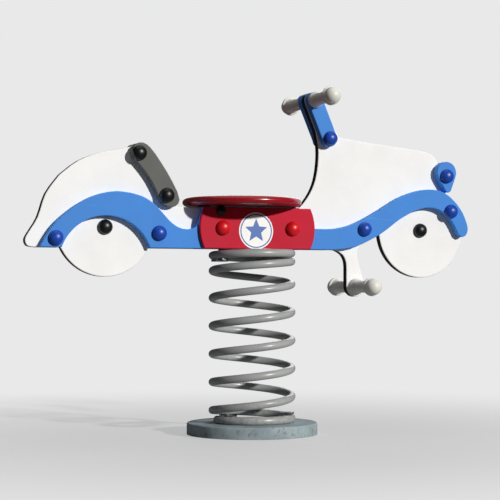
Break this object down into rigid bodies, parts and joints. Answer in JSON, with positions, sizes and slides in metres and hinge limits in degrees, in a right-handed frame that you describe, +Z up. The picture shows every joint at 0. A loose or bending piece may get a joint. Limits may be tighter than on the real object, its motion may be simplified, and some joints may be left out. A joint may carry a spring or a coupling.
{
  "type": "spring rider",
  "caption": "Playground spring rider for one child: a coil spring on a round ground plate carries a sheet body shaped like a motor scooter, with a round seat, hand grips and foot pegs.",
  "frame": {"origin": "centre of the ground plate's underside, on the upright axis of the spring", "axes": "+X the way the rider faces, +Y the rider's left, +Z up"},
  "size_m": [1.092, 0.3, 0.795],
  "materials": {
    "white_sheet": "satin",
    "blue_sheet": "satin",
    "red_sheet": "satin",
    "seat_sheet": "satin",
    "grey_sheet": "matte",
    "blue_cap": "gloss",
    "red_cap": "gloss",
    "black_cap": "gloss",
    "grip_plastic": "satin",
    "spring_paint": "satin",
    "ground_plate_paint": "matte",
    "zinc_steel": "satin"
  },
  "bodies": {
    "ground": {"base_plate": "ground_plate_paint", "base_clamp_rear": "zinc_steel", "base_clamp_front": "zinc_steel", "spring_coil_1": "spring_paint"},
    "coil_2": {"spring_coil_2": "spring_paint"},
    "coil_3": {"spring_coil_3": "spring_paint"},
    "coil_4": {"spring_coil_4": "spring_paint"},
    "coil_5": {"spring_coil_5": "spring_paint"},
    "coil_6": {"spring_coil_6": "spring_paint"},
    "coil_7": {"spring_coil_7": "spring_paint"},
    "coil_8": {"spring_coil_8": "spring_paint"},
    "coil_9": {"spring_coil_9": "spring_paint"},
    "rider": {"spring_head": "zinc_steel", "head_clamp_right": "zinc_steel", "head_clamp_rear": "zinc_steel", "body_panel": "white_sheet", "seat": "seat_sheet", "seat_bracket": "zinc_steel", "handle_rod": "zinc_steel", "peg_rod": "zinc_steel", "side_panel_left": "blue_sheet", "side_panel_right": "blue_sheet", "centre_panel_left": "red_sheet", "centre_panel_right": "red_sheet", "backrest_plate_left": "grey_sheet", "backrest_plate_right": "grey_sheet", "handle_bracket_left": "blue_sheet", "handle_bracket_right": "blue_sheet", "headlight_left": "blue_sheet", "headlight_right": "blue_sheet", "hand_grip_left": "grip_plastic", "hand_grip_right": "grip_plastic", "foot_peg_left": "grip_plastic", "foot_peg_right": "grip_plastic", "rear_arch_rear_bolt": "blue_cap", "rear_arch_rear_nut": "blue_cap", "rear_arch_front_bolt": "blue_cap", "rear_arch_front_nut": "blue_cap", "front_arch_rear_bolt": "blue_cap", "front_arch_rear_nut": "blue_cap", "front_arch_front_bolt": "blue_cap", "front_arch_front_nut": "blue_cap", "centre_rear_bolt": "red_cap", "centre_rear_nut": "red_cap", "centre_front_bolt": "red_cap", "centre_front_nut": "red_cap", "seat_bolt": "black_cap", "seat_nut": "black_cap", "backrest_top_bolt": "black_cap", "backrest_top_nut": "black_cap", "backrest_bottom_bolt": "black_cap", "backrest_bottom_nut": "black_cap", "handle_bolt": "blue_cap", "handle_nut": "blue_cap", "headlight_bolt": "blue_cap", "headlight_nut": "blue_cap", "rear_wheel_bolt": "black_cap", "rear_wheel_nut": "black_cap", "front_wheel_bolt": "black_cap", "front_wheel_nut": "black_cap"}
  },
  "joints": [
    {"name": "rock_1", "type": "hinge", "parent": "ground", "child": "coil_2", "pos_m": [0, 0, 0.0742], "axis": [0, 1, 0], "range_deg": [-7.5, 7.5], "stiffness_Nm_per_rad": 807, "springref_deg": -0.26},
    {"name": "sway_1", "type": "hinge", "parent": "coil_2", "child": "coil_3", "pos_m": [0, 0, 0.1226], "axis": [1, 0, 0], "range_deg": [-5, 5], "stiffness_Nm_per_rad": 807, "springref_deg": -0.01},
    {"name": "bounce_1", "type": "slide", "parent": "coil_3", "child": "coil_4", "axis": [0, 0, 1], "range_m": [-0.008, 0.004], "stiffness_N_per_m": 57600, "springref_m": 0.00308},
    {"name": "rock_2", "type": "hinge", "parent": "coil_4", "child": "coil_5", "pos_m": [0, 0, 0.2032], "axis": [0, 1, 0], "range_deg": [-7.5, 7.5], "stiffness_Nm_per_rad": 807, "springref_deg": -0.26},
    {"name": "sway_2", "type": "hinge", "parent": "coil_5", "child": "coil_6", "pos_m": [0, 0, 0.2515], "axis": [1, 0, 0], "range_deg": [-5, 5], "stiffness_Nm_per_rad": 807, "springref_deg": -0.01},
    {"name": "bounce_2", "type": "slide", "parent": "coil_6", "child": "coil_7", "axis": [0, 0, 1], "range_m": [-0.008, 0.004], "stiffness_N_per_m": 57600, "springref_m": 0.00308},
    {"name": "rock_3", "type": "hinge", "parent": "coil_7", "child": "coil_8", "pos_m": [0, 0, 0.3321], "axis": [0, 1, 0], "range_deg": [-7.5, 7.5], "stiffness_Nm_per_rad": 807, "springref_deg": -0.26},
    {"name": "sway_3", "type": "hinge", "parent": "coil_8", "child": "coil_9", "pos_m": [0, 0, 0.3774], "axis": [1, 0, 0], "range_deg": [-5, 5], "stiffness_Nm_per_rad": 807, "springref_deg": -0.01},
    {"name": "twist", "type": "hinge", "parent": "coil_9", "child": "rider", "pos_m": [0, 0, 0.4237], "axis": [0, 0, 1], "range_deg": [-8, 8], "stiffness_Nm_per_rad": 309}
  ],
  "couplings": [
    {"joint": "rock_2", "follows": "rock_1", "ratio": 1},
    {"joint": "rock_3", "follows": "rock_1", "ratio": 1},
    {"joint": "sway_2", "follows": "sway_1", "ratio": 1},
    {"joint": "sway_3", "follows": "sway_1", "ratio": 1},
    {"joint": "bounce_2", "follows": "bounce_1", "ratio": 1}
  ]
}
